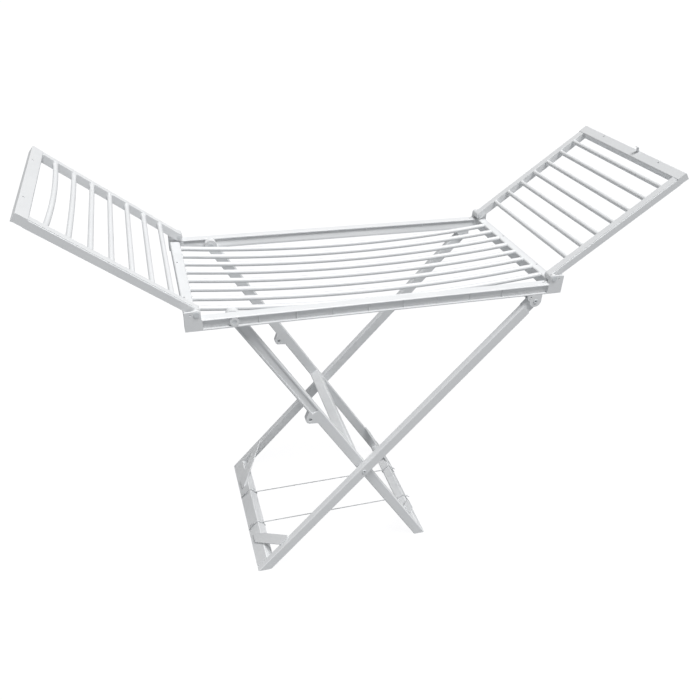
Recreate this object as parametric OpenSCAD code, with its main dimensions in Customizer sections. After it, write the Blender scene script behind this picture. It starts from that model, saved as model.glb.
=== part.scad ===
// Winged clothes airer in moulded plastic: an X-leg stand, a rod deck and two raised rod wings.
// The origin is on the floor under the middle of the deck, X along the deck, Z up, in millimetres.

/* [Overall] */
// Width over the deck's side rails
rack_w = 550; // [512:1:700]
// Length of the deck over its end rails
deck_len = 1104; // [920:1:1330]
// Height of the deck's top above the floor
deck_h = 994.5; // [820:0.5:1200]

/* [Deck] */
// Height of the deck's rails
rail_h = 33; // [28:1:40]
// Width of a side rail
rail_w = 28; // [24:1:36]
// Width of an end rail
end_rail_w = 30; // [24:1:40]
// Wall of the moulded rails
rail_wall = 4; // [3:0.5:5]
// Length of a corner block along the deck
block_len = 46; // [44:1:60]
// How far a corner block stands out past the end rail
block_out = 3; // [0:0.5:6]
// Number of rods across the deck
deck_rods = 8; // [2:1:8]
// Distance between deck rods
deck_pitch = 56.5; // [40:0.5:58]
// Diameter of a deck rod
rod_d = 15; // [10:0.5:18]
// How far the middle of a deck rod has sunk
rod_sag = 28; // [4:1:34]
// Depth of a deck rod's centre below the deck's top, at its ends
rod_drop = 6; // [5.5:0.5:12]

/* [Wings] */
// Length of a wing from its hinge to its outer end
wing_len = 480; // [460:1:500]
// Angle of the raised wings above the level
wing_angle = 37; // [20:1:50]
// Height of the wing hinges above the deck's top
hinge_up = 16; // [15:0.5:20]
// Distance of the wing hinges inside the deck's ends
hinge_in = 28.5; // [26:0.5:32]
// Width of a wing's side rail
wing_rail_w = 24; // [20:1:28]
// Height of a wing's rails
wing_rail_h = 24; // [20:1:26]
// Width of a wing's outer rail
wing_end_w = 32; // [24:1:36]
// Number of rods in a wing
wing_rods = 7; // [2:1:7]
// Distance between wing rods
wing_pitch = 56; // [40:0.5:57]
// Distance of the first wing rod from the hinge
wing_first = 72; // [60:1:76]
// Diameter of a wing rod
wing_rod_d = 14; // [9:0.5:15]
// Bow of the left wing's outermost rod
wing_rod_bow = 8; // [3:1:12]

/* [Legs] */
// Distance of the outer frame's top pivot inside the deck's right end
outer_top_in = 77.4; // [72:0.1:130]
// Depth of the outer frame's top pivot below the rails
outer_top_drop = 20.7; // [19.5:0.1:26]
// Place of the outer frame's foot along the floor
outer_foot_x = -363.6; // [-400:0.1:-320]
// Width of an outer leg
outer_leg_w = 35; // [28:0.2:37]
// Thickness of an outer leg
outer_leg_t = 22; // [20:1:26]
// Distance of the inner frame's top clip inside the deck's left end
inner_top_in = 125.9; // [112:0.1:170]
// Place of the inner frame's foot along the floor
inner_foot_x = 208.4; // [170:0.1:240]
// Width of an inner leg
inner_leg_w = 33; // [28:1:36]
// Thickness of an inner leg
inner_leg_t = 20; // [16:1:24]
// Length of the foot bars along the legs
bar_len = 35; // [30:1:45]
// Distance of the crossbar's middle above the leg pivot
crossbar_up = 64; // [45:1:80]
// Height of the crossbar along the inner legs
crossbar_h = 34; // [24:1:40]
// Distance of a corner brace's ends from the corner
brace_reach = 98; // [80:1:105]
// Width of a corner brace along the bar
brace_w = 34; // [10:1:40]
// Thickness of a corner brace
brace_t = 5; // [3:0.5:7]

/* [Pins and cords] */
// Diameter of the leg pivot pins
pivot_d = 10; // [8:0.5:12]
// Diameter of the clip studs
stud_d = 12; // [10:0.5:14]
// Diameter of the wing hinge pins
hinge_pin_d = 8; // [6:0.5:10]
// Diameter of the stay cords
cord_d = 3.5; // [2:0.5:4]
// Distance of the cords from the middle
cord_y = 80; // [60:1:110]

/* [Clearances] */
// Clearance between a pin and the bore that turns on it, on the radius
turn_gap = 0.25; // [0.15:0.05:0.5]
// Clearance between a fixed pin or spigot and its bore, on the radius
fit_gap = 0.1; // [0.05:0.05:0.3]
// Clearance beside pieces that turn past each other
side_gap = 1; // [0.5:0.1:2]
// Clearance between a wing and the seat that holds it up
seat_gap = 0.3; // [0.2:0.1:1]

/* [Hidden] */
$fn = 48;
shell_white = "#f1f3f4";
rod_white = "#f6f7f8";
pin_grey = "#c9cdd0";
cord_white = "#e9ebec";

half_w = rack_w / 2;
half_len = deck_len / 2;
rail_in = half_w - rail_w;
rail_z = deck_h - rail_h;
end_in = half_len - end_rail_w;
block_end = half_len + block_out;
block_start = block_end - block_len;
edge = 2.5;
rib_t = 2;
drain_d = 6;
drain_shift = -26;
rib_pitch = 103;
spigot_len = 8;
spigot_d = 0.55 * rod_d;
collar_len = 6;
collar_d = rod_d + 1;
bow_overlap = 3;

// Side rail: a channel on the outside, a groove and a leaning wall on the inside
flange_t = 4;
web_in = 15;
web_out = 19;
groove_h = 3.5;
groove_in = 8;
lean_in = 6;
lean_foot = 7;
lean_t = 3;
boss_r = 13;
knob_r = 6.5;
knob_h = 2.5;
knob_in = 7;
screw_d = 5;

hinge_x = half_len - hinge_in;
hinge_z = deck_h + hinge_up;
ear_t = 12;
ear_r = 11;
cheek_t = 5;
cheek_rise = 8;
wing_out = half_w - ear_t - side_gap;
wing_in = wing_out - wing_rail_w;
wing_rod_up = 4.5;
wing_spigot_d = 0.6 * wing_rod_d;
head_t = 2;
recess_d = 5.5;
recess_in = 8;

// Leg lines, each from its foot to its top pivot
outer_foot = [outer_foot_x, 0];
outer_top = [half_len - outer_top_in, rail_z - outer_top_drop];
inner_foot = [inner_foot_x, 0];
stud_down = 16.7;
inner_top = [inner_top_in - half_len, deck_h - stud_down];
outer_len = norm(outer_top - outer_foot);
inner_len = norm(inner_top - inner_foot);

// The legs cross where the two lines meet
outer_run = outer_top - outer_foot;
inner_run = inner_top - inner_foot;
foot_gap = inner_foot - outer_foot;
outer_cross = cross(foot_gap, inner_run) / cross(outer_run, inner_run) * outer_len;
inner_cross = cross(foot_gap, outer_run) / cross(outer_run, inner_run) * inner_len;

outer_in = half_w - outer_leg_t;
inner_out = rail_in - side_gap;
inner_in = inner_out - inner_leg_t;

plate_t = 6;
plate_gap = 0.5;
plate_side = 27.6;
plate_front = 19.4;
plate_base_t = 2;
inner_plate_t = 4.5;
tongue_reach = 37;
tongue_t = outer_leg_t - plate_t - plate_gap;

clip_r = 19;
// Direction in which the stud leaves the clip, from the line of the leg
clip_turn = 115;
knuckle_r = 14;
knuckle_off = 27;
knuckle_at = inner_len * 0.62;
channel_t = 3;
channel_w = 20;

// Each cord ends in a knot that rests on the outer face of a foot bar
cord_z = 26;
cord_sides = 8;
cord_rings = 24;
knot_r = 4;
knot_gap = 0.5;
outer_slope = atan2(outer_run[1], outer_run[0]);
inner_slope = atan2(inner_run[1], -inner_run[0]);
outer_knot_off = outer_leg_w / 2 + knot_r + knot_gap;
inner_knot_off = inner_leg_w / 2 + knot_r + knot_gap;
cord_left = outer_foot_x + cord_z / tan(outer_slope) - outer_knot_off / sin(outer_slope);
cord_right = inner_foot_x - cord_z / tan(inner_slope) + inner_knot_off / sin(inner_slope);
cord_bore_gap = 0.3;

rod_names = ["rod_1", "rod_2", "rod_3", "rod_4", "rod_5", "rod_6", "rod_7", "rod_8"];
wing_pieces = ["rail_near", "rail_far", "end_rail", "hinge_pins"];

// Outline of a bar with its four edges cut at 45 degrees
function cut_bar(w, h, c) =
    [[c, 0], [w - c, 0], [w, c], [w, h - c], [w - c, h], [c, h], [0, h - c], [0, c]];

// Outline of a rail that is hollow underneath
function hollow_rail(w, h, wall, c) = [
    [0, 0], [wall, 0], [wall, h - wall], [w - wall, h - wall],
    [w - wall, 0], [w, 0], [w, h - c], [w - c, h], [c, h], [0, h - c]
];

// Draws a piece made for the far side, or its mirror image for the near side
module on_side(side) {
    if (side > 0) children();
    else mirror([0, 1, 0]) children();
}

// Draws a piece made for the right end, or its mirror image for the left end
module on_end(end) {
    if (end > 0) children();
    else mirror([1, 0, 0]) children();
}

// Puts local X on the line from one point to another in the XZ plane
module along(from, to) {
    run = to - from;
    translate([from[0], 0, from[1]])
        rotate([0, -atan2(run[1], run[0]), 0])
            children();
}

// Extrudes an outline in YZ along X
module rail_x(from, to, outline) {
    translate([from, 0, 0])
        rotate([90, 0, 90])
            linear_extrude(to - from)
                polygon(outline);
}

// Extrudes an outline in XZ along Y
module plate_y(from, to, outline) {
    translate([0, to, 0])
        rotate([90, 0, 0])
            linear_extrude(to - from)
                polygon(outline);
}

// Round bar along Y
module pin_y(x, z, from, to, d) {
    translate([x, from, z])
        rotate([-90, 0, 0])
            cylinder(h = to - from, d = d);
}

// Removes whatever would reach below the floor
module on_floor() {
    difference() {
        children();
        translate([-half_len, -rack_w, -100]) cube([deck_len, 2 * rack_w, 100]);
    }
}

// Bar of round section along X that sinks by its sag between two ends
module sunk_bar(half_span, sag, d) {
    radius = (half_span * half_span + sag * sag) / (2 * sag);
    sweep = asin(half_span / radius);
    translate([0, 0, radius - sag])
        rotate([90, 0, 0])
            rotate([0, 0, -90 - sweep])
                rotate_extrude(angle = 2 * sweep, $fn = 360)
                    translate([radius, 0]) circle(d = d, $fn = 32);
}

// ---- Deck ----

module side_rail(side) {
    groove_low = rail_h - flange_t - groove_h;
    outline = [
        [web_in, 0], [rail_w - 1, 0], [rail_w, 1], [rail_w, flange_t], [web_out, flange_t],
        [web_out, rail_h - flange_t], [rail_w, rail_h - flange_t], [rail_w, rail_h - edge],
        [rail_w - edge, rail_h], [1, rail_h], [0, rail_h - 1], [0, rail_h - flange_t],
        [groove_in, rail_h - flange_t], [groove_in, groove_low], [lean_in, groove_low],
        [0, lean_foot], [0, 0], [lean_t, 0], [lean_t, lean_foot], [web_in, groove_low - lean_t]
    ];
    knob_x = block_start - knob_in;
    knob_y = half_w - rail_w / 2;
    ribs = floor((block_start - plate_side) / rib_pitch);
    color(shell_white) on_side(side) difference() {
        union() {
            translate([0, rail_in, rail_z]) rail_x(-block_start, block_start, outline);
            for (i = [-ribs : ribs - 1]) {
                // Ribs stand outward in the channel and bridge the groove on the inside
                translate([(i + 0.5) * rib_pitch, rail_in + web_out - 1, rail_z + 1])
                    cube([rib_t, 5, rail_h - 2]);
                translate([i * rib_pitch, rail_in + 1, rail_z + groove_low - 1])
                    cube([2 * rib_t, groove_in, groove_h + 2]);
            }
            translate([knob_x, knob_y, deck_h - 1]) cylinder(h = knob_h + 1, r = knob_r);
            pin_y(inner_top[0], inner_top[1], rail_in, half_w, 2 * boss_r);
        }
        pin_y(inner_top[0], inner_top[1], rail_in - 1, half_w + 1, stud_d + 2 * fit_gap);
        translate([knob_x, knob_y, deck_h - flange_t - 1])
            cylinder(h = knob_h + flange_t + 2, d = screw_d);
    }
}

module end_rail(end) {
    outline = hollow_rail(end_rail_w, rail_h, rail_wall, edge);
    first = -(deck_rods - 1) / 2 * deck_pitch;
    color(shell_white) on_end(end) difference() {
        union() {
            mirror([1, 0, 0]) rotate([0, 0, 90]) translate([0, end_in, rail_z])
                rail_x(-rail_in, rail_in, outline);
            for (i = [0 : deck_rods - 2]) {
                translate([end_in + 1, first + (i + 0.5) * deck_pitch, rail_z + edge])
                    cube([end_rail_w - 2, rib_t, rail_h - 2 * edge]);
            }
        }
        for (i = [0 : deck_rods - 1]) {
            translate([end_in - 1, first + i * deck_pitch, deck_h - rod_drop])
                rotate([0, 90, 0]) cylinder(h = spigot_len + 2, d = spigot_d + 2 * fit_gap);
        }
        for (side = [-1, 1]) {
            translate([end_in + 0.7 * end_rail_w, 0.46 * side * rail_in + drain_shift, deck_h - rail_wall - 1])
                cylinder(h = rail_wall + 2, d = drain_d);
        }
    }
}

module corner_block(end, side) {
    seat_low = hinge_x + 7;
    under = hinge_z - wing_rail_h / 2 / cos(wing_angle) - seat_gap;
    slope = tan(wing_angle);
    color(shell_white) on_end(end) on_side(side) difference() {
        union() {
            translate([0, rail_in, rail_z])
                rail_x(block_start, block_end, cut_bar(rail_w, rail_h, 1));
            pin_y(hinge_x, hinge_z, half_w - ear_t, half_w, 2 * ear_r);
            plate_y(half_w - ear_t, half_w, [
                [block_start + 2, deck_h - 2], [hinge_x + ear_r, deck_h - 2],
                [hinge_x + ear_r, hinge_z], [hinge_x - ear_r, hinge_z]
            ]);
            plate_y(half_w - cheek_t, half_w, [
                [hinge_x, deck_h - 2], [block_end, deck_h - 2],
                [block_end, hinge_z + cheek_rise], [hinge_x + 5, hinge_z + ear_r - 1], [hinge_x, hinge_z]
            ]);
            // Seat under the raised wing
            plate_y(rail_in + 1, half_w - ear_t + 1, [
                [seat_low, deck_h - 2], [block_end, deck_h - 2],
                [block_end, under + slope * (block_end - hinge_x)],
                [seat_low, under + slope * (seat_low - hinge_x)]
            ]);
        }
        pin_y(hinge_x, hinge_z, half_w - ear_t - 1, half_w + 1, hinge_pin_d + 2 * fit_gap);
        pin_y(hinge_x + ear_r + 5, hinge_z, half_w - cheek_t - 1, half_w + 1, screw_d);
    }
}

module deck_rod(index) {
    collar = end_in - collar_len;
    y = (index - (deck_rods - 1) / 2) * deck_pitch;
    color(rod_white) translate([0, y, deck_h - rod_drop]) {
        sunk_bar(collar + bow_overlap, rod_sag, rod_d);
        for (end = [-1, 1]) on_end(end) {
            translate([collar, 0, 0]) rotate([0, 90, 0]) cylinder(h = collar_len, d = collar_d);
            translate([collar, 0, 0]) rotate([0, 90, 0])
                cylinder(h = collar_len + spigot_len, d = spigot_d);
        }
    }
}

module leg_brackets() {
    x = outer_top[0];
    z = outer_top[1];
    color(shell_white) for (side = [-1, 1]) on_side(side) difference() {
        union() {
            plate_y(half_w - plate_t, half_w, bracket_outline(x, z));
            pin_y(x, z, half_w - plate_t, half_w, 2 * plate_front);
            plate_y(rail_in + 0.5, rail_in + 0.5 + inner_plate_t, bracket_outline(x, z));
            pin_y(x, z, rail_in + 0.5, rail_in + 0.5 + inner_plate_t, 2 * plate_front);
            translate([x - plate_side, rail_in + 0.5, rail_z - plate_base_t])
                cube([plate_side + plate_front, rail_w - 0.5, plate_base_t]);
        }
        pin_y(x, z, rail_in - 1, half_w + 1, pivot_d + 2 * fit_gap);
        // Rivet holes in the outer plate
        for (spot = [[-17, 14], [-20, 7]]) {
            pin_y(x + spot[0], z + spot[1], half_w - plate_t - 1, half_w + 1, screw_d);
        }
    }
}

function bracket_outline(x, z) = [
    [x - plate_side, rail_z], [x + plate_front, rail_z], [x + plate_front, z],
    [x, z - 0.7 * plate_front], [x - plate_side, z + 0.4 * plate_front]
];

module outer_top_pins() {
    color(pin_grey) for (side = [-1, 1]) on_side(side) difference() {
        union() {
            pin_y(outer_top[0], outer_top[1], rail_in + 0.5, half_w + head_t, pivot_d);
            pin_y(outer_top[0], outer_top[1], half_w, half_w + head_t, pivot_d + 4);
        }
        pin_y(outer_top[0], outer_top[1], half_w - recess_in, half_w + head_t + 1, recess_d);
    }
}

module clip_studs() {
    stop_y = inner_in - plate_gap;
    color(pin_grey) for (side = [-1, 1]) on_side(side) {
        pin_y(inner_top[0], inner_top[1], stop_y - head_t, half_w - 1, stud_d);
        pin_y(inner_top[0], inner_top[1], stop_y - head_t, stop_y, stud_d + 5);
    }
}

// ---- Wings ----

// Puts a wing drawn level, outward along X from its hinge, at its raised angle
module raised(end) {
    on_end(end) translate([hinge_x, 0, hinge_z]) rotate([0, -wing_angle, 0]) children();
}

module wing_rail(end, side) {
    rebate = 3;
    h = wing_rail_h;
    w = wing_rail_w;
    outline = [
        [0, 0], [rail_wall, 0], [rail_wall, h - rail_wall], [w - 2 * rail_wall, h - rail_wall],
        [w - 2 * rail_wall, 0], [w, 0], [w, h - rebate], [w - rebate, h - rebate],
        [w - rebate, h - 0.5], [w - rebate - 0.5, h], [1, h], [0, h - 1]
    ];
    stop = wing_len - wing_end_w;
    color(shell_white) raised(end) on_side(side) difference() {
        union() {
            translate([0, wing_in, -h / 2]) rail_x(0, stop, outline);
            pin_y(0, 0, wing_in, wing_out, h);
            for (i = [0 : 2 : wing_rods - 1]) {
                translate([wing_first + (i + 0.5) * wing_pitch, wing_in + 1, 1 - h / 2])
                    cube([rib_t, w - rail_wall - 2, h - 2]);
            }
        }
        pin_y(0, 0, wing_in - 1, wing_out + 1, hinge_pin_d + 2 * turn_gap);
        for (i = [0 : wing_rods - 1]) {
            pin_y(wing_first + i * wing_pitch, wing_rod_up, wing_in - 1,
                wing_in + spigot_len, wing_spigot_d + 2 * fit_gap);
        }
    }
}

module wing_end_rail(end) {
    h = wing_rail_h;
    outline = hollow_rail(wing_end_w, h, rail_wall, edge);
    color(shell_white) raised(end) difference() {
        translate([wing_len - wing_end_w, 0, -h / 2]) {
            plate_y(-wing_out, wing_out, outline);
            for (y = [-wing_out, wing_out - rail_wall]) {
                translate([1, y, 1]) cube([wing_end_w - 2, rail_wall, h - 1 - edge]);
            }
        }
        for (side = [-1, 1]) {
            translate([wing_len - 0.3 * wing_end_w, 0.55 * side * wing_out, h / 2 - rail_wall - 1])
                cylinder(h = rail_wall + 2, d = drain_d);
        }
    }
}

module wing_rod(end, index) {
    bow = end > 0 ? 0 : wing_rod_bow / (1 + 2 * (wing_rods - 1 - index));
    span = wing_in - collar_len;
    color(rod_white) raised(end) translate([wing_first + index * wing_pitch, 0, wing_rod_up]) {
        if (bow > 2) rotate([0, 90, 0]) rotate([0, 0, 90]) sunk_bar(span + bow_overlap, bow, wing_rod_d);
        else pin_y(0, 0, -span - 1, span + 1, wing_rod_d);
        for (side = [-1, 1]) on_side(side) {
            pin_y(0, 0, span, wing_in, wing_rod_d + 1);
            pin_y(0, 0, span, wing_in + spigot_len - 1, wing_spigot_d);
        }
    }
}

module hinge_pins(end) {
    color(pin_grey) on_end(end) for (side = [-1, 1]) on_side(side) {
        pin_y(hinge_x, hinge_z, wing_in - plate_gap - head_t, half_w + head_t, hinge_pin_d);
        pin_y(hinge_x, hinge_z, half_w, half_w + head_t, hinge_pin_d + 8);
        pin_y(hinge_x, hinge_z, wing_in - plate_gap - head_t, wing_in - plate_gap, hinge_pin_d + 4);
    }
}

// Small hook on the right wing's outer rail that holds the folded wing to a deck rod
module rod_clip() {
    clip_w = 11;
    clip_t = 2.2;
    clip_y = -38;
    color(shell_white) raised(1) translate([wing_len - 2 * clip_t, clip_y, wing_rail_h / 2]) {
        plate_y(-clip_w / 2, clip_w / 2, [
            [-clip_t, 0], [clip_t, 0], [clip_t, 8], [2.5 * clip_t, 12], [clip_t, 18],
            [-0.3 * clip_t, 18], [1.2 * clip_t, 12], [-0.6 * clip_t, 7.5]
        ]);
    }
}

// ---- Outer leg frame ----

module outer_leg(side) {
    w = outer_leg_w;
    step = outer_len - tongue_reach;
    color(shell_white) on_floor() on_side(side) along(outer_foot, outer_top) difference() {
        union() {
            translate([0, outer_in, -w / 2]) rail_x(-w, step, cut_bar(outer_leg_t, w, edge));
            translate([step - 1, outer_in, -w / 2]) cube([tongue_reach + 1, tongue_t, w]);
            pin_y(outer_len, 0, outer_in, outer_in + tongue_t, w);
        }
        pin_y(outer_len, 0, outer_in - 1, half_w, pivot_d + 2 * turn_gap);
        pin_y(outer_cross, 0, outer_in - 1, half_w + 1, pivot_d + 2 * fit_gap);
    }
}

// Foot bar between two legs, in line with them and flat on the floor, with a bore for each cord
module foot_bar(foot, top, w, reach) {
    color(shell_white) on_floor() difference() {
        along(foot, top) plate_y(-reach, reach, [
            [-w, -w / 2], [bar_len - edge, -w / 2], [bar_len, edge - w / 2],
            [bar_len, w / 2 - edge], [bar_len - edge, w / 2], [-w, w / 2]
        ]);
        for (side = [-1, 1]) {
            translate([foot[0] - 60, side * cord_y, cord_z])
                rotate([0, 90, 0]) cylinder(h = 120, d = cord_d + 2 * cord_bore_gap);
        }
    }
}

module outer_foot_bar() {
    foot_bar(outer_foot, outer_top, outer_leg_w, outer_in);
}

module inner_foot_bar() {
    foot_bar(inner_foot, inner_top, inner_leg_w, inner_in);
}

// Flat strap across the corner between a foot bar and a leg, on the upper face of both
module brace(leg_y, w, face) {
    // The strap's ends lap onto the bar and onto the leg
    bar_lap = 10;
    leg_lap = 8;
    low = bar_len - 2 * bar_lap - 2;
    rise = brace_reach;
    translate([0, 0, face * w / 2 + (face < 0 ? -brace_t : 0)]) linear_extrude(brace_t) polygon([
        [low + 2, leg_y - rise - brace_w], [low + rise + brace_w, leg_y - 2],
        [low + rise + brace_w, leg_y + leg_lap], [low + rise - 4, leg_y + leg_lap],
        [low - bar_lap, leg_y - rise + 4], [low - bar_lap, leg_y - rise - brace_w]
    ]);
}

module outer_brace(side) {
    color(shell_white) on_floor() on_side(side) along(outer_foot, outer_top)
        brace(outer_in, outer_leg_w, 1);
}

module pivot_pins() {
    x = outer_foot + outer_run * (outer_cross / outer_len);
    stop_y = inner_in - plate_gap;
    color(pin_grey) for (side = [-1, 1]) on_side(side) difference() {
        union() {
            pin_y(x[0], x[1], stop_y - head_t, half_w + head_t, pivot_d);
            pin_y(x[0], x[1], stop_y - head_t, stop_y, pivot_d + 8);
            pin_y(x[0], x[1], half_w, half_w + head_t, pivot_d + 4);
        }
        pin_y(x[0], x[1], half_w - recess_in, half_w + head_t + 1, recess_d);
    }
}

module pivot_spacers() {
    x = outer_foot + outer_run * (outer_cross / outer_len);
    color(shell_white) for (side = [-1, 1]) on_side(side) difference() {
        pin_y(x[0], x[1], inner_out + plate_gap, outer_in, pivot_d + 14);
        pin_y(x[0], x[1], inner_out, outer_in + 1, pivot_d + 2 * fit_gap);
    }
}

// ---- Inner leg frame ----

module inner_leg(side) {
    w = inner_leg_w;
    mouth = stud_d + 2 * turn_gap + 1;
    color(shell_white) on_floor() on_side(side) along(inner_foot, inner_top) difference() {
        union() {
            translate([0, inner_in, -w / 2]) rail_x(-w, inner_len, cut_bar(inner_leg_t, w, edge));
            pin_y(inner_len, 0, inner_in, inner_out, 2 * clip_r);
            pin_y(knuckle_at, knuckle_off, inner_in, inner_out, 2 * knuckle_r);
            plate_y(inner_in, inner_out, [
                [knuckle_at - 2 * knuckle_r, w / 2 - edge], [knuckle_at - 0.8 * knuckle_r, knuckle_off + 8],
                [knuckle_at + 0.8 * knuckle_r, knuckle_off + 8], [knuckle_at + 2 * knuckle_r, w / 2 - edge]
            ]);
        }
        // Open clip: a round seat for the stud and a mouth of the same width
        pin_y(inner_len, 0, inner_in - 1, inner_out + 1, stud_d + 2 * turn_gap);
        translate([inner_len, 0, 0]) rotate([0, -clip_turn, 0]) translate([0, inner_in - 1, -mouth / 2])
            cube([2 * clip_r, inner_leg_t + 2, mouth]);
        pin_y(knuckle_at, knuckle_off, inner_in - 1, inner_out + 1, pivot_d + 2);
        pin_y(inner_cross, 0, inner_in - 1, inner_out + 1, pivot_d + 2 * turn_gap);
        translate([knuckle_at + knuckle_r, inner_out - channel_t, -channel_w / 2])
            cube([inner_len - clip_r - knuckle_at - knuckle_r, channel_t + 1, channel_w]);
    }
}

module inner_crossbar() {
    at = inner_cross + crossbar_up;
    w = inner_leg_w;
    color(shell_white) along(inner_foot, inner_top) translate([at - crossbar_h / 2, 0, -w / 2])
        plate_y(-inner_in, inner_in, cut_bar(crossbar_h, w, edge));
}

module inner_brace(side) {
    color(shell_white) on_floor() on_side(side) along(inner_foot, inner_top)
        brace(inner_in, inner_leg_w, -1);
}

// ---- Stay cords ----

// Cord held at both ends by a knot outside each foot bar
module cord(side) {
    step = (cord_right - cord_left) / (cord_rings - 1);
    points = [
        for (i = [0 : cord_rings - 1], k = [0 : cord_sides - 1])
            [cord_left + i * step, cord_d / 2 * cos(k * 360 / cord_sides), cord_d / 2 * sin(k * 360 / cord_sides)]
    ];
    walls = [
        for (i = [0 : cord_rings - 2], k = [0 : cord_sides - 1])
            let (next = (k + 1) % cord_sides)
            [
                (i + 1) * cord_sides + k, (i + 1) * cord_sides + next,
                i * cord_sides + next, i * cord_sides + k
            ]
    ];
    caps = [
        [for (k = [0 : cord_sides - 1]) k],
        [for (k = [cord_sides - 1 : -1 : 0]) (cord_rings - 1) * cord_sides + k]
    ];
    color(cord_white) translate([0, side * cord_y, cord_z]) {
        polyhedron(points, concat(walls, caps));
        for (x = [cord_left, cord_right]) translate([x, 0, 0]) sphere(r = knot_r);
    }
}

side_rail(-1);  // side_rail_near
side_rail(1);  // side_rail_far
end_rail(-1);  // end_rail_left
end_rail(1);  // end_rail_right
corner_block(-1, -1);  // corner_block_near_left
corner_block(1, -1);  // corner_block_near_right
corner_block(-1, 1);  // corner_block_far_left
corner_block(1, 1);  // corner_block_far_right
for (i = [0 : deck_rods - 1]) deck_rod(i);
leg_brackets();
clip_studs();
wing_rail(-1, -1);  // left_wing_rail_near
wing_rail(-1, 1);  // left_wing_rail_far
wing_end_rail(-1);  // left_wing_end_rail
hinge_pins(-1);  // left_wing_hinge_pins
for (i = [0 : wing_rods - 1]) wing_rod(-1, i);
wing_rail(1, -1);  // right_wing_rail_near
wing_rail(1, 1);  // right_wing_rail_far
wing_end_rail(1);  // right_wing_end_rail
hinge_pins(1);  // right_wing_hinge_pins
for (i = [0 : wing_rods - 1]) wing_rod(1, i);
rod_clip();
outer_leg(-1);  // outer_leg_near
outer_leg(1);  // outer_leg_far
outer_foot_bar();
outer_brace(-1);  // outer_brace_near
outer_brace(1);  // outer_brace_far
outer_top_pins();
pivot_pins();
pivot_spacers();
inner_leg(-1);  // inner_leg_near
inner_leg(1);  // inner_leg_far
inner_crossbar();
inner_foot_bar();
inner_brace(-1);  // inner_brace_near
inner_brace(1);  // inner_brace_far
cord(-1);  // cord_near
cord(1);  // cord_far
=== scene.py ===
import bpy
import bmesh
import math
from mathutils import Matrix, Vector


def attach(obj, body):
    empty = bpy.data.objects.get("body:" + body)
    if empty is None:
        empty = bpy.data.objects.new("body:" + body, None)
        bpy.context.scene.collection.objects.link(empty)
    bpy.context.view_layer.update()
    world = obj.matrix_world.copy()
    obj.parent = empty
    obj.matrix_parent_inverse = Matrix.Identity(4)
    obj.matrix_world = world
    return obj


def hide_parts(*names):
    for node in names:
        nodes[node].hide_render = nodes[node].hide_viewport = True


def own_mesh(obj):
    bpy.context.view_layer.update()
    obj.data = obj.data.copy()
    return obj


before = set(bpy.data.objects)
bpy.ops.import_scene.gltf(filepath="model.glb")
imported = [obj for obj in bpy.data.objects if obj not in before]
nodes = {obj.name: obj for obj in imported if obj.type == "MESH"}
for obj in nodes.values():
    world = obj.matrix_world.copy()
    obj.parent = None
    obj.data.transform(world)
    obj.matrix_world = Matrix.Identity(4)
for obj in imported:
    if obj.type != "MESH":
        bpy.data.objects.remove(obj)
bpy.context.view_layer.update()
mm = 0.001

cameraSettings = {
    "place": (-0.6348, -1.9, 1.9167),
    "turn": -18.134,   # degrees from looking along +Y
    "down": 32.028,
    "roll": 2.974,
    "lens": 36.31,
}


def makeCamera(s):
    data = bpy.data.cameras.new("airerCamera")
    data.lens = s["lens"]
    data.sensor_width = 36
    data.clip_end = 100
    cam = bpy.data.objects.new("airerCamera", data)
    turn = Matrix.Rotation(math.radians(s["turn"]), 4, "Z")
    tilt = Matrix.Rotation(math.radians(90 - s["down"]), 4, "X")
    roll = Matrix.Rotation(math.radians(s["roll"]), 4, "Z")
    cam.matrix_world = Matrix.Translation(s["place"]) @ turn @ tilt @ roll
    bpy.context.scene.collection.objects.link(cam)
    bpy.context.scene.camera = cam


makeCamera(cameraSettings)
print("camera ready")


def hexColour(code):
    # sRGB hex to the linear values that a shader reads
    parts = [int(code[i:i + 2], 16) / 255 for i in (1, 3, 5)]
    linear = [c / 12.92 if c <= 0.04045 else ((c + 0.055) / 1.055) ** 2.4 for c in parts]
    return (*linear, 1)


def addNode(tree, kind, settings=None, inputs=None):
    # settings go on the node, inputs are values or the sockets that feed it
    node = tree.nodes.new(kind)
    for key, value in (settings or {}).items():
        setattr(node, key, value)
    for key, value in (inputs or {}).items():
        if isinstance(value, bpy.types.NodeSocket):
            tree.links.new(value, node.inputs[key])
        else:
            node.inputs[key].default_value = value
    return node


def emptyMaterial(name):
    material = bpy.data.materials.new(name)
    material.use_nodes = True
    material.node_tree.nodes.clear()
    return material, material.node_tree


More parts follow.
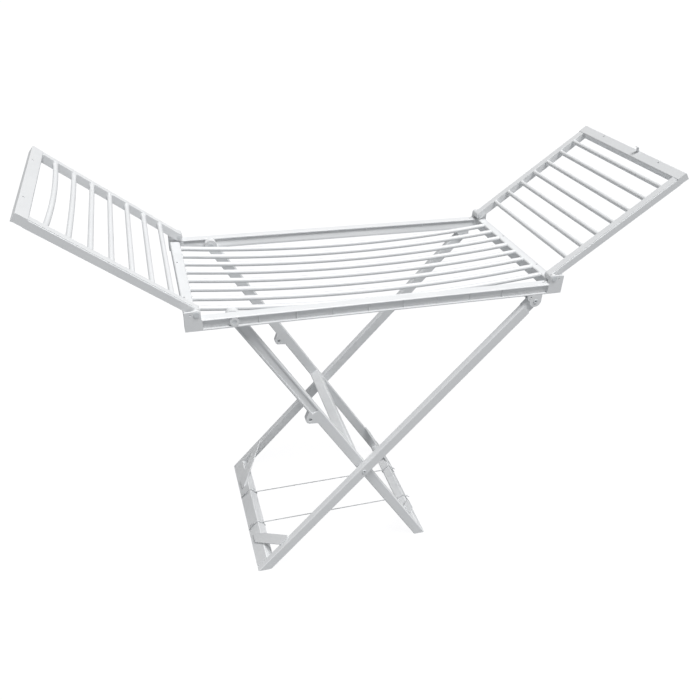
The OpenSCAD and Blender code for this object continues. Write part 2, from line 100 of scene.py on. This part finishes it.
def mouldedPlastic(name, s):
    # Polypropylene from a textured mould: an even satin with a fine spark grain,
    # faint flow shading from the gates and a slightly uneven gloss
    material, tree = emptyMaterial(name)
    place = addNode(tree, "ShaderNodeTexCoord").outputs["Object"]
    stretched = addNode(tree, "ShaderNodeMapping", {}, {"Vector": place, "Scale": s["stretch"]})
    flow = addNode(tree, "ShaderNodeTexNoise", {}, {
        "Vector": stretched.outputs["Vector"], "Scale": 1000 / s["flowMm"], "Detail": 3, "Roughness": 0.5})
    tint = addNode(tree, "ShaderNodeMix", {"data_type": "RGBA"}, {
        "Factor": flow.outputs["Fac"], "A": hexColour(s["dark"]), "B": hexColour(s["light"])})
    glossNoise = addNode(tree, "ShaderNodeTexNoise", {}, {
        "Vector": stretched.outputs["Vector"], "Scale": 1000 / s["glossMm"], "Detail": 4})
    gloss = addNode(tree, "ShaderNodeMapRange", {}, {
        "Value": glossNoise.outputs["Fac"], "From Min": 0.3, "From Max": 0.7,
        "To Min": s["smooth"], "To Max": s["rough"]})
    grain = addNode(tree, "ShaderNodeTexNoise", {}, {
        "Vector": stretched.outputs["Vector"], "Scale": 1000 / s["grainMm"], "Detail": 2})
    bump = addNode(tree, "ShaderNodeBump", {}, {
        "Strength": s["bump"], "Distance": s["bumpMm"] * mm, "Height": grain.outputs["Fac"]})
    shader = addNode(tree, "ShaderNodeBsdfPrincipled", {}, {
        "Base Color": tint.outputs["Result"], "Roughness": gloss.outputs["Result"],
        "IOR": s["ior"], "Normal": bump.outputs["Normal"]})
    addNode(tree, "ShaderNodeOutputMaterial", {}, {"Surface": shader.outputs["BSDF"]})
    return material


shellLook = {
    "dark": "#E8EAEC", "light": "#F2F3F4", "stretch": (1, 1, 1),
    "flowMm": 90, "glossMm": 35, "smooth": 0.38, "rough": 0.5,
    "grainMm": 1.2,    # real spark grain is about 0.2 mm, drawn coarser so that it shows
    "bump": 0.25, "bumpMm": 0.05, "ior": 1.49,
}
# Rods are extruded, so their marks run along them: X on the deck, Y on the wings
deckRodLook = dict(shellLook, dark="#ECEEF0", light="#F4F5F6", stretch=(0.06, 1, 1),
                   flowMm=14, glossMm=9, smooth=0.28, rough=0.42, grainMm=1.0, bump=0.2)
wingRodLook = dict(deckRodLook, stretch=(1, 0.06, 1))
pinLook = dict(shellLook, dark="#D9DCDF", light="#E3E6E8", smooth=0.24, rough=0.32, flowMm=12,
               glossMm=8, bump=0.1, ior=1.48)

shellMaterial = mouldedPlastic("mouldedPolypropylene", shellLook)
deckRodMaterial = mouldedPlastic("extrudedPolypropyleneAlongX", deckRodLook)
wingRodMaterial = mouldedPlastic("extrudedPolypropyleneAlongY", wingRodLook)
pinMaterial = mouldedPlastic("mouldedAcetal", pinLook)


def braidedPolyester(s):
    # Spun polyester cord: matt and slightly furry, with slow light and dark bands along it
    material, tree = emptyMaterial("braidedPolyester")
    place = addNode(tree, "ShaderNodeTexCoord").outputs["Object"]
    bands = addNode(tree, "ShaderNodeTexWave", {"bands_direction": "DIAGONAL"}, {
        "Vector": place, "Scale": s["bandScale"], "Distortion": 0.6, "Detail": 1})
    fibre = addNode(tree, "ShaderNodeTexNoise", {}, {
        "Vector": place, "Scale": 1000 / s["fibreMm"], "Detail": 3})
    tint = addNode(tree, "ShaderNodeMix", {"data_type": "RGBA"}, {
        "Factor": bands.outputs["Fac"], "A": hexColour(s["dark"]), "B": hexColour(s["light"])})
    bump = addNode(tree, "ShaderNodeBump", {}, {
        "Strength": 0.5, "Distance": s["bumpMm"] * mm, "Height": fibre.outputs["Fac"]})
    shader = addNode(tree, "ShaderNodeBsdfPrincipled", {}, {
        "Base Color": tint.outputs["Result"], "Roughness": 0.85, "Sheen Weight": 0.3,
        "Sheen Roughness": 0.5, "Normal": bump.outputs["Normal"]})
    addNode(tree, "ShaderNodeOutputMaterial", {}, {"Surface": shader.outputs["BSDF"]})
    return material


polyesterLook = {
    "bandScale": 50 / 3,    # bands 38 mm apart, as the diagonal wave repeats every 2 pi / 10 m at scale 1
    "fibreMm": 0.5, "bumpMm": 0.15, "dark": "#C2C4C6", "light": "#D4D6D8",
}
cordMaterial = braidedPolyester(polyesterLook)
print("materials ready")


def newPiece(name, bm, material, body):
    mesh = bpy.data.meshes.new(name)
    bmesh.ops.recalc_face_normals(bm, faces=bm.faces)
    bm.to_mesh(mesh)
    bm.free()
    mesh.materials.append(material)
    mesh.shade_smooth()
    piece = bpy.data.objects.new(name, mesh)
    bpy.context.scene.collection.objects.link(piece)
    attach(piece, body)
    return piece


cordLook = {
    "left": -0.3699, "right": 0.2166, "height": 0.026, "side": 0.08,
    "barDepth": 0.03,    # from the cord's left end to the outer bar's inner side
    "folded": 0.037,     # the share of its length that is left between the folded bars
    "thick": 0.0035, "strands": 3, "aroundSides": 18, "rings": 620,
    "twistMm": 9,        # from one strand's crest to the next along the cord
    "groove": 0.06,      # how deep it is between two strands, as a share of the radius
    "pathSteps": 30,
}


def makeCord(name, side, s):
    length = s["right"] - s["left"]
    bm = bmesh.new()
    bmesh.ops.create_circle(bm, cap_ends=True, segments=s["aroundSides"], radius=s["thick"] / 2)
    bmesh.ops.rotate(bm, verts=bm.verts, matrix=Matrix.Rotation(math.pi / 2, 3, "Y"))
    edges = list(bm.edges)
    for ring in range(s["rings"]):
        grown = bmesh.ops.extrude_edge_only(bm, edges=edges)["geom"]
        moved = [g for g in grown if isinstance(g, bmesh.types.BMVert)]
        bmesh.ops.translate(bm, verts=moved, vec=(length / s["rings"], 0, 0))
        edges = [g for g in grown if isinstance(g, bmesh.types.BMEdge)]
    bmesh.ops.holes_fill(bm, edges=edges)
    # The twisted strands stand out, with a shallow groove between them
    for v in bm.verts:
        angle = math.atan2(v.co.z, v.co.y)
        turn = 2 * math.pi * v.co.x / (s["twistMm"] * mm)
        lift = 1 - s["groove"] * (0.5 - 0.5 * math.cos(s["strands"] * angle - turn)) ** 2
        v.co.y *= lift
        v.co.z *= lift
    bmesh.ops.translate(bm, verts=bm.verts, vec=(s["left"], side * s["side"], s["height"]))
    cord = newPiece(name, bm, cordMaterial, "outer_legs")
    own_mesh(cord)
    return cord


for name, side in (("near", -1), ("far", 1)):
    makeCord("stayCord_" + name, side, cordLook)
    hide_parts("cord_" + name)

knotLook = {
    "strand": 0.0013, "loop": 0.0022, "turns": 2, "sides": 10, "steps": 20,
    "off": 0.003,                  # from the cord's end to the first turn
    "lean": 70, "leanMore": 35, "twist": 0.5,    # how each turn is laid over the one before
    "stepOut": 0.0015, "stepUp": 0.0006,
    "tail": 0.012, "tailSides": 12, "tailLean": 60, "tailWide": 1.1, "tailNarrow": 0.8,
    "tailAt": (0.004, 0.001, -0.003),
}


def makeKnot(name, x, side, out, body, s):
    # Two turns of cord drawn tight round the standing part, with a short tapered tail
    bm = bmesh.new()
    centre = Vector((x + out * s["off"], side * cordLook["side"], cordLook["height"]))
    for turn in range(s["turns"]):
        ring = bmesh.ops.create_circle(bm, segments=s["sides"], radius=s["strand"])["verts"]
        bmesh.ops.rotate(bm, verts=ring, matrix=Matrix.Rotation(math.pi / 2, 3, "X"))
        bmesh.ops.translate(bm, verts=ring, vec=(s["loop"], 0, 0))
        edges = list({e for v in ring for e in v.link_edges})
        bmesh.ops.spin(bm, geom=ring + edges, cent=(0, 0, 0), axis=(0, 0, 1), dvec=(0, 0, 0),
                       angle=2 * math.pi, steps=s["steps"], use_merge=True)
        made = [v for v in bm.verts if not v.tag]
        lean = math.radians(s["lean"] + s["leanMore"] * turn)
        tilt = Matrix.Rotation(lean, 3, "Y") @ Matrix.Rotation(s["twist"] * turn, 3, "X")
        bmesh.ops.rotate(bm, verts=made, matrix=tilt)
        shift = Vector((out * s["stepOut"] * turn, 0, s["stepUp"] * turn))
        bmesh.ops.translate(bm, verts=made, vec=centre + shift)
        for v in made:
            v.tag = True
    tail = bmesh.ops.create_cone(bm, cap_ends=True, segments=s["tailSides"], depth=s["tail"],
                                 radius1=s["strand"] * s["tailWide"],
                                 radius2=s["strand"] * s["tailNarrow"])["verts"]
    bmesh.ops.rotate(bm, verts=tail, matrix=Matrix.Rotation(math.radians(-out * s["tailLean"]), 3, "Y"))
    along, across, up = s["tailAt"]
    bmesh.ops.translate(bm, verts=tail, vec=centre + Vector((out * along, side * across, up)))
    knot = newPiece(name, bm, cordMaterial, body)


for name, side in (("near", -1), ("far", 1)):
    makeKnot("knotOuter_" + name, cordLook["left"], side, -1, "outer_legs", knotLook)
    makeKnot("knotInner_" + name, cordLook["right"], side, 1, "inner_legs", knotLook)

loopLook = {
    "strand": 0.0014, "sides": 10, "bend": (0, 30, 60, 90),
    "beside": 0.0046,    # from the cord's middle to the loop's, across the rack
    "lift": 0.0021,      # from the floor to the loop's ends
    "chamfer": 0.0025, "barTop": 0.035,
    "outer": {"foot": -0.3636, "angle": 48.3, "half": 0.0175, "body": "outer_legs"},
    "inner": {"foot": 0.2084, "angle": 122.98, "half": 0.0165, "body": "inner_legs"},
}


def sweepTube(bm, points, radius, sides):
    # Round tube along a path whose points all have the same Y
    across = Vector((0, 1, 0))
    rows = []
    for i, point in enumerate(points):
        run = (points[min(i + 1, len(points) - 1)] - points[max(i - 1, 0)]).normalized()
        turned = Matrix((across, run.cross(across), run)).transposed()
        rows.append(Matrix.Translation(point) @ turned.to_4x4())
    made = bmesh.ops.create_circle(
        bm, cap_ends=True, segments=sides, radius=radius, matrix=rows[0])["verts"]
    edges = list({e for v in made for e in v.link_edges})
    for before, after in zip(rows, rows[1:]):
        grown = bmesh.ops.extrude_edge_only(bm, edges=edges)["geom"]
        moved = [g for g in grown if isinstance(g, bmesh.types.BMVert)]
        bmesh.ops.transform(bm, matrix=after @ before.inverted(), verts=moved)
        edges = [g for g in grown if isinstance(g, bmesh.types.BMEdge)]
    bmesh.ops.holes_fill(bm, edges=edges)


def makeLoop(name, bar, side, s):
    # The cord's end goes once round the foot bar before it is knotted. It is drawn down both sides
    # and over the top, and left out under the bar, where the floor is
    turn = math.radians(bar["angle"])
    out = bar["half"] + s["strand"]
    top = s["barTop"] + s["strand"]
    corner = s["chamfer"] + s["strand"]

    def place(u, n):
        x = bar["foot"] + u * math.cos(turn) - n * math.sin(turn)
        return Vector((x, side * (cordLook["side"] + s["beside"]), u * math.sin(turn) + n * math.cos(turn)))

    def start(n):
        return (s["lift"] - n * math.cos(turn)) / math.sin(turn)

    points = [place(start(out), out)]
    for way in (1, -1):
        arc = []
        for angle in s["bend"]:
            a = math.radians(angle)
            u = top - corner + corner * math.sin(a)
            arc.append(place(u, way * (out - corner + corner * math.cos(a))))
        points += arc if way > 0 else arc[::-1]
    points.append(place(start(-out), -out))
    bm = bmesh.new()
    sweepTube(bm, points, s["strand"], s["sides"])
    loop = newPiece(name, bm, cordMaterial, bar["body"])


for name, side in (("near", -1), ("far", 1)):
    makeLoop("cordLoopOuter_" + name, loopLook["outer"], side, loopLook)
    makeLoop("cordLoopInner_" + name, loopLook["inner"], side, loopLook)
print("cords ready")

edgeLook = {
    "radius": 0.0009, "pinRadius": 0.0006, "segments": 2, "weld": 0.00002,
    "sharpest": 32,    # degrees between two faces, above which their edge is rounded
    "flat": 0.5,       # degrees below which it is dissolved
}


def roundEdges(piece, s, radius):
    # Every moulded corner has a small radius that catches the light
    weld = piece.modifiers.new("weld", "WELD")
    weld.merge_threshold = s["weld"]
    flat = piece.modifiers.new("flat", "DECIMATE")
    flat.decimate_type = "DISSOLVE"
    flat.angle_limit = math.radians(s["flat"])
    bevel = piece.modifiers.new("bevel", "BEVEL")
    bevel.width = radius
    bevel.segments = s["segments"]
    bevel.limit_method = "ANGLE"
    bevel.angle_limit = math.radians(s["sharpest"])
    bevel.use_clamp_overlap = True
    normals = piece.modifiers.new("normals", "WEIGHTED_NORMAL")
    normals.keep_sharp = False


def dress(piece, material):
    piece.data.materials.clear()
    piece.data.materials.append(material)


for name, piece in nodes.items():
    if name.startswith("cord_"):
        dress(piece, cordMaterial)
    elif name.startswith("deck_rod"):
        dress(piece, deckRodMaterial)
    elif "_rod_" in name:
        dress(piece, wingRodMaterial)
    elif "pins" in name or "studs" in name:
        dress(piece, pinMaterial)
        roundEdges(piece, edgeLook, edgeLook["pinRadius"])
    else:
        dress(piece, shellMaterial)
        roundEdges(piece, edgeLook, edgeLook["radius"])
print("plastic parts ready")

studioLook = {
    "floorSize": 60, "floor": "#FAFAFB", "glow": 1.0,
    "shade": "#484848",     # the paint under the glow, which sets how deep a shadow shows
    "bounce": "#A8AAAC",    # the paint that every ray but the camera's meets
    "backdrop": 1.02, "sky": 0.25,
    "key": 2.9, "keySpread": 32, "keyFrom": (15, 11),
}


def makeStudio(s):
    bm = bmesh.new()
    bmesh.ops.create_grid(bm, x_segments=1, y_segments=1, size=s["floorSize"] / 2)
    mesh = bpy.data.meshes.new("studioFloor")
    bm.to_mesh(mesh)
    bm.free()
    material, tree = emptyMaterial("paintedFloor")
    # It shows white with the faintest shadow, and throws only part of that light back up
    seen = addNode(tree, "ShaderNodeLightPath").outputs["Is Camera Ray"]
    paint = addNode(tree, "ShaderNodeMix", {"data_type": "RGBA"}, {
        "Factor": seen, "A": hexColour(s["bounce"]), "B": hexColour(s["shade"])})
    glow = addNode(tree, "ShaderNodeMath", {"operation": "MULTIPLY"}, {0: seen, 1: s["glow"]})
    shader = addNode(tree, "ShaderNodeBsdfPrincipled", {}, {
        "Base Color": paint.outputs["Result"], "Roughness": 0.9, "Specular IOR Level": 0.1,
        "Emission Color": hexColour(s["floor"]), "Emission Strength": glow.outputs["Value"]})
    addNode(tree, "ShaderNodeOutputMaterial", {}, {"Surface": shader.outputs["BSDF"]})
    mesh.materials.append(material)
    floor = bpy.data.objects.new("studioFloor", mesh)
    bpy.context.scene.collection.objects.link(floor)
    # A white backdrop behind everything that lights the object less than it shows
    world = bpy.data.worlds.new("studioSky")
    world.use_nodes = True
    tree = world.node_tree
    tree.nodes.clear()
    seen = addNode(tree, "ShaderNodeLightPath").outputs["Is Camera Ray"]
    strength = addNode(tree, "ShaderNodeMapRange", {}, {
        "Value": seen, "To Min": s["sky"], "To Max": s["backdrop"]})
    sky = addNode(tree, "ShaderNodeBackground", {}, {
        "Color": (1, 1, 1, 1), "Strength": strength.outputs["Result"]})
    addNode(tree, "ShaderNodeOutputWorld", {}, {"Surface": sky.outputs["Background"]})
    bpy.context.scene.world = world


def addKeyLight(s):
    data = bpy.data.lights.new("softKey", "SUN")
    data.energy = s["key"]
    data.angle = math.radians(s["keySpread"])
    lamp = bpy.data.objects.new("softKey", data)
    lamp.rotation_euler = (math.radians(s["keyFrom"][0]), math.radians(s["keyFrom"][1]), 0)
    bpy.context.scene.collection.objects.link(lamp)


makeStudio(studioLook)
addKeyLight(studioLook)
bpy.context.scene.view_settings.view_transform = "Standard"
print("studio ready")
